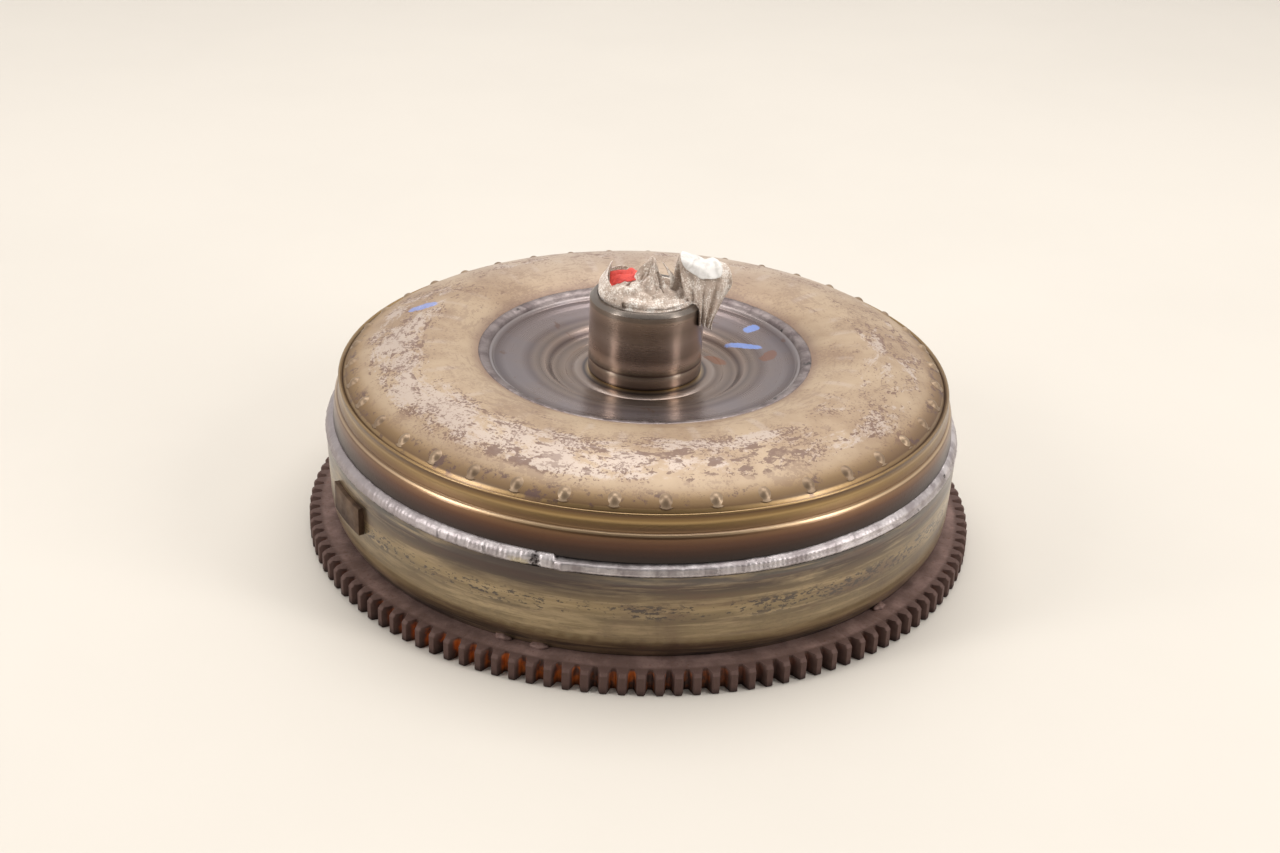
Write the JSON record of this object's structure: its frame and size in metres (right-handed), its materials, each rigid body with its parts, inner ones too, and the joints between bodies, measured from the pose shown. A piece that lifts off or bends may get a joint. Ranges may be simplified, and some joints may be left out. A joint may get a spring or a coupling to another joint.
{
  "type": "torque converter",
  "caption": "Sealed torque converter with toothed ring gear, welded two-part case, fluid wheels, lock-up clutch and a bored pump hub plugged with a rag.",
  "frame": {"origin": "on the turning axis at the height of the ring gear's lower face and the drive pads' faces", "axes": "+Z along the turning axis, from the engine side to the pump hub; +X through drive pad 1"},
  "size_m": [0.288, 0.288, 0.1215],
  "materials": {
    "cover_steel": "olive-gold heat-tinted steel with dark pits",
    "shell_steel": "brown-gold tinted steel, worn to pinkish grey",
    "rusty_steel": "dark rust, orange in the tooth gaps",
    "weld_steel": "grey-lilac weld bead",
    "hub_steel": "ground and polished steel",
    "pressed_steel": "oiled pressed steel",
    "bearing_steel": "hardened and ground",
    "spring_steel": "blued spring steel",
    "stator_aluminium": "cast, matt",
    "friction_paper": "friction paper, matt",
    "rag_cloth": "speckled cotton cloth"
  },
  "bodies": {
    "housing": {"front_cover": "cover_steel", "pilot_boss": "hub_steel", "drive_pad_1": "hub_steel", "drive_pad_2": "hub_steel", "drive_pad_3": "hub_steel", "drive_pad_4": "hub_steel", "drive_pad_5": "hub_steel", "drive_pad_6": "hub_steel", "ring_gear": "rusty_steel", "closing_weld": "weld_steel", "impeller_shell": "shell_steel", "impeller_vanes": "pressed_steel", "pump_hub": "hub_steel", "hub_weld": "weld_steel", "balance_weight": "cover_steel"},
    "turbine": {"turbine_shell": "pressed_steel", "turbine_vanes": "pressed_steel", "turbine_hub": "hub_steel", "damper_driven_plate": "pressed_steel", "damper_spring_1": "spring_steel", "damper_spring_2": "spring_steel", "damper_spring_3": "spring_steel", "damper_spring_4": "spring_steel", "damper_spring_5": "spring_steel", "damper_spring_6": "spring_steel", "damper_spring_7": "spring_steel", "damper_spring_8": "spring_steel", "hub_rivet_1": "hub_steel", "hub_rivet_2": "hub_steel", "hub_rivet_3": "hub_steel", "hub_rivet_4": "hub_steel", "hub_rivet_5": "hub_steel", "hub_rivet_6": "hub_steel"},
    "damper_carrier": {"damper_retainer": "pressed_steel"},
    "lockup_piston": {"clutch_piston": "pressed_steel", "friction_lining": "friction_paper"},
    "stator_race": {"stator_inner_race": "hub_steel", "turbine_thrust_bearing": "bearing_steel"},
    "stator": {"stator_wheel": "stator_aluminium", "clutch_outer_race": "hub_steel", "clutch_roller_1": "bearing_steel", "clutch_roller_2": "bearing_steel", "clutch_roller_3": "bearing_steel", "clutch_roller_4": "bearing_steel", "clutch_roller_5": "bearing_steel", "clutch_roller_6": "bearing_steel", "clutch_roller_7": "bearing_steel", "clutch_roller_8": "bearing_steel", "stator_front_plate": "pressed_steel", "stator_rear_plate": "pressed_steel"},
    "front_bearing": {"front_thrust_bearing": "bearing_steel"},
    "pump_bearing": {"pump_thrust_bearing": "bearing_steel"},
    "rag": {"rag_plug": "rag_cloth"}
  },
  "joints": [
    {"name": "turbine_spin", "type": "hinge", "parent": "housing", "child": "turbine", "pos_m": [0, 0, 0.042], "axis": [0, 0, 1], "continuous": true},
    {"name": "damper_twist", "type": "hinge", "parent": "turbine", "child": "damper_carrier", "pos_m": [0, 0, 0.0245], "axis": [0, 0, 1], "range_deg": [-4, 4], "stiffness_Nm_per_rad": 300},
    {"name": "piston_apply", "type": "slide", "parent": "damper_carrier", "child": "lockup_piston", "axis": [0, 0, -1], "range_m": [0, 0.0012]},
    {"name": "race_spin", "type": "hinge", "parent": "housing", "child": "stator_race", "pos_m": [0, 0, 0.054], "axis": [0, 0, 1], "continuous": true},
    {"name": "stator_freewheel", "type": "hinge", "parent": "stator_race", "child": "stator", "pos_m": [0, 0, 0.054], "axis": [0, 0, 1], "continuous": true},
    {"name": "front_bearing_spin", "type": "hinge", "parent": "housing", "child": "front_bearing", "pos_m": [0, 0, 0.0106], "axis": [0, 0, 1], "continuous": true},
    {"name": "pump_bearing_spin", "type": "hinge", "parent": "housing", "child": "pump_bearing", "pos_m": [0, 0, 0.0627], "axis": [0, 0, 1], "continuous": true},
    {"name": "rag_pull", "type": "slide", "parent": "housing", "child": "rag", "axis": [0, 0, 1], "range_m": [0, 0.07]}
  ],
  "couplings": [
    {"joint": "front_bearing_spin", "follows": "turbine_spin", "ratio": 0.5},
    {"joint": "pump_bearing_spin", "follows": "race_spin", "ratio": 0.5}
  ]
}
